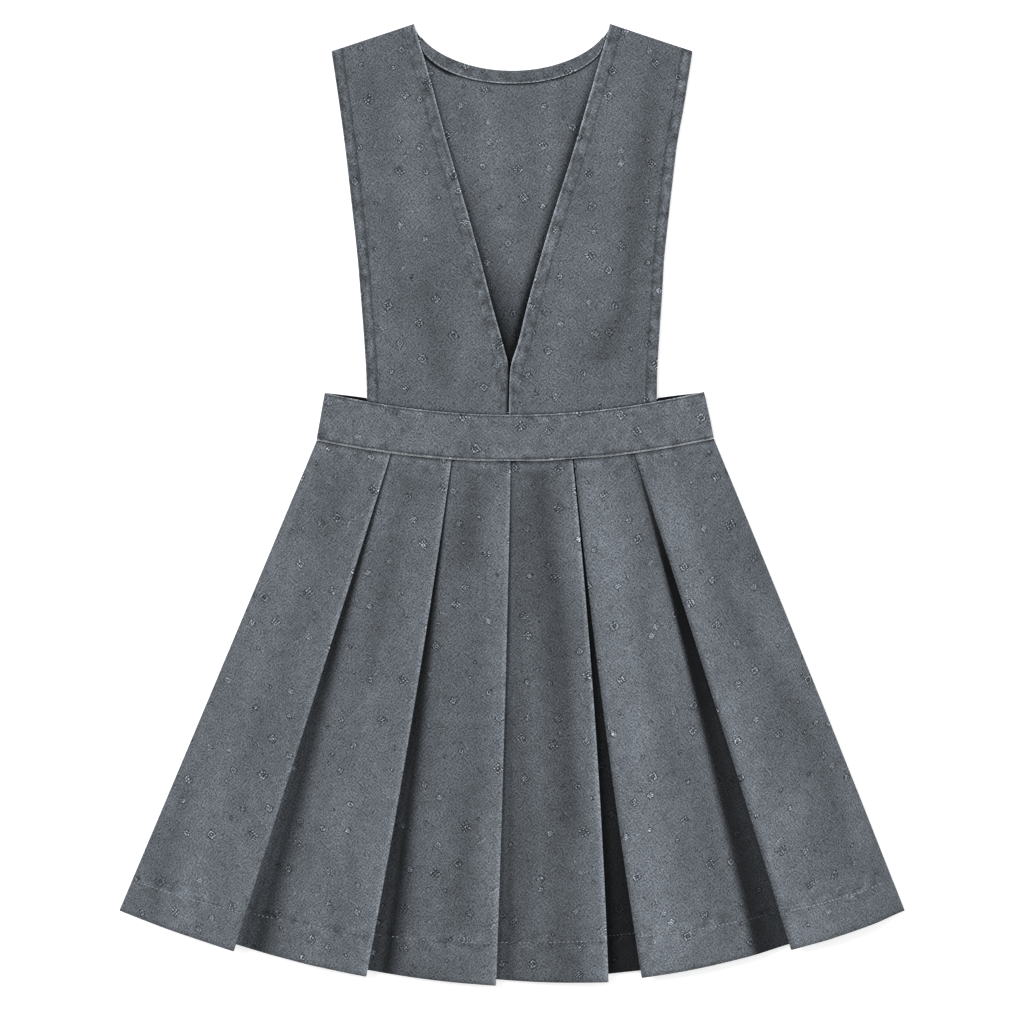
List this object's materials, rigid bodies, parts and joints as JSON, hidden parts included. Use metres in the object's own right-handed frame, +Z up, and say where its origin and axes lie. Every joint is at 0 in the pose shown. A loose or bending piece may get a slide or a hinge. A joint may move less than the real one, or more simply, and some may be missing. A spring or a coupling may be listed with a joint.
{
  "type": "pinafore dress",
  "caption": "Child's sleeveless grey pinafore dress lying flat, with a deep V front, a waistband and a flared pleated skirt.",
  "frame": {"origin": "on the surface the dress lies on, under the middle of its outline", "axes": "+X to the right across the front as seen from above, +Y from the hem to the shoulders, +Z up out of the surface"},
  "size_m": [0.5743, 0.7019, 0.0176],
  "materials": {
    "grey_cloth": "matte twill"
  },
  "bodies": {
    "root": {"bodice_back": "grey_cloth", "back_neck_facing": "grey_cloth", "bodice_front_left": "grey_cloth", "bodice_front_right": "grey_cloth", "waistband_back": "grey_cloth", "waistband_front": "grey_cloth", "skirt_back": "grey_cloth", "skirt_front": "grey_cloth"}
  },
  "joints": []
}
